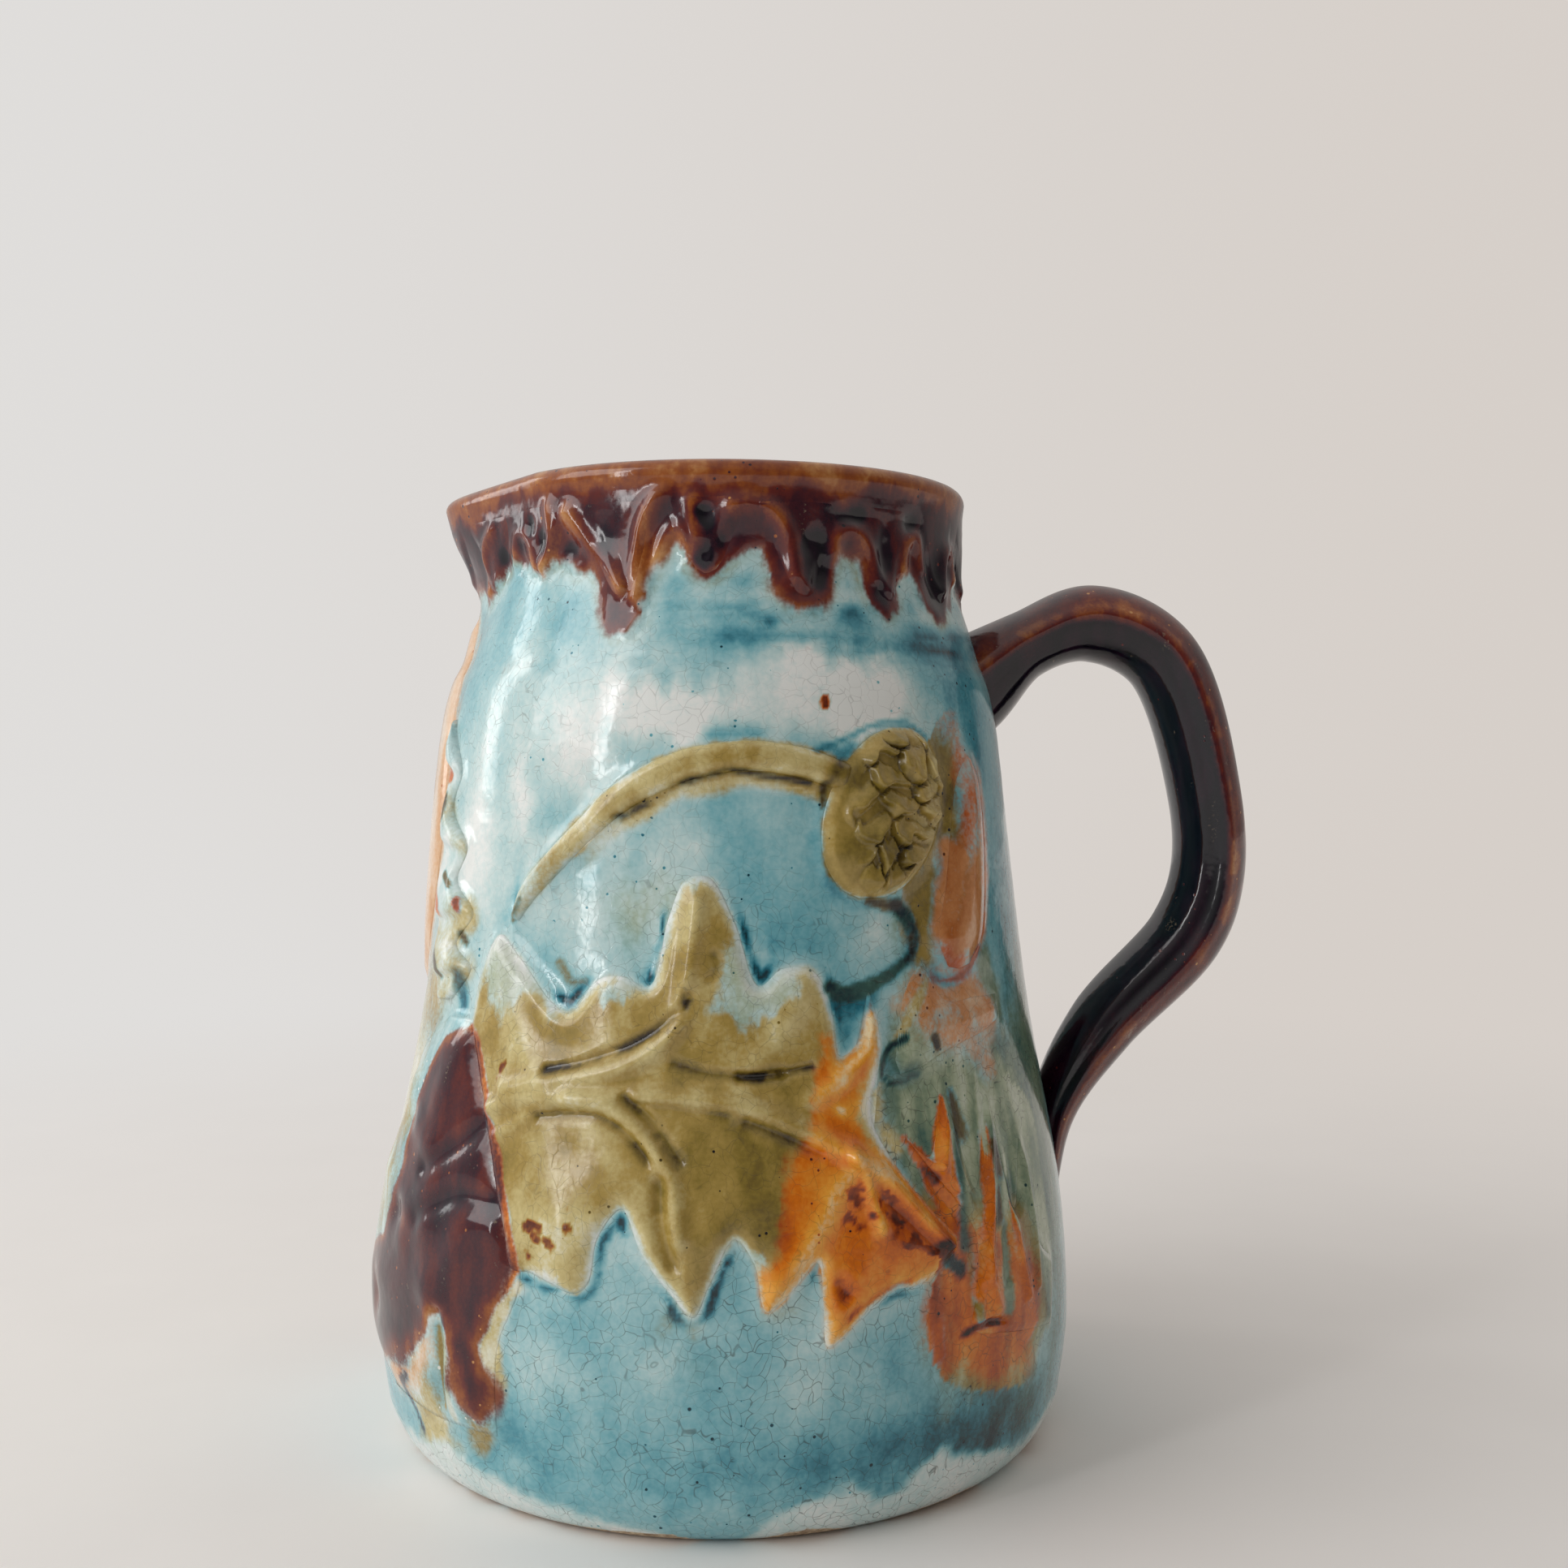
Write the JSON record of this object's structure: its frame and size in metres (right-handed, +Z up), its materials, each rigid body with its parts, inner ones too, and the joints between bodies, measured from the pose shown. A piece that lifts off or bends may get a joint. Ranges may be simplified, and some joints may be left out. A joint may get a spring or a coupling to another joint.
{
  "type": "jug",
  "caption": "Tapered glazed pottery jug with a pulled spout, strap handle, hanging rim leaves and leaf, bud and pod relief; holds and pours drinks.",
  "frame": {"origin": "middle of the round base, on the surface the jug stands on", "axes": "+Z up along the body's axis, +X towards the handle, -X towards the spout, -Y the pictured side"},
  "size_m": [0.162, 0.1284, 0.17],
  "materials": {
    "turquoise_glaze": "glossy crazed glaze",
    "treacle_glaze": "glossy crazed glaze",
    "olive_glaze": "glossy crazed glaze",
    "rust_glaze": "glossy crazed glaze",
    "peach_glaze": "glossy crazed glaze",
    "sage_glaze": "glossy crazed glaze"
  },
  "bodies": {
    "root": {"jug_body": "turquoise_glaze", "handle": "treacle_glaze", "rim_leaf_01": "treacle_glaze", "rim_leaf_02": "treacle_glaze", "rim_leaf_03": "treacle_glaze", "rim_leaf_04": "treacle_glaze", "rim_leaf_05": "treacle_glaze", "rim_leaf_06": "treacle_glaze", "rim_leaf_07": "treacle_glaze", "rim_leaf_08": "treacle_glaze", "rim_leaf_09": "treacle_glaze", "rim_leaf_10": "treacle_glaze", "rim_leaf_11": "treacle_glaze", "rim_leaf_12": "treacle_glaze", "rim_leaf_13": "treacle_glaze", "rim_leaf_14": "treacle_glaze", "rim_leaf_15": "treacle_glaze", "rim_leaf_16": "treacle_glaze", "rim_leaf_17": "treacle_glaze", "front_leaf": "olive_glaze", "rear_leaf": "olive_glaze", "front_side_leaf": "rust_glaze", "rear_side_leaf": "rust_glaze", "front_spout_leaf": "treacle_glaze", "rear_spout_leaf": "treacle_glaze", "front_frond": "olive_glaze", "rear_frond": "olive_glaze", "front_stem": "olive_glaze", "rear_stem": "olive_glaze", "front_bud": "olive_glaze", "rear_bud": "olive_glaze", "front_pod": "peach_glaze", "rear_pod": "peach_glaze", "front_husk": "sage_glaze", "rear_husk": "sage_glaze", "spout_pod": "peach_glaze"}
  },
  "joints": []
}
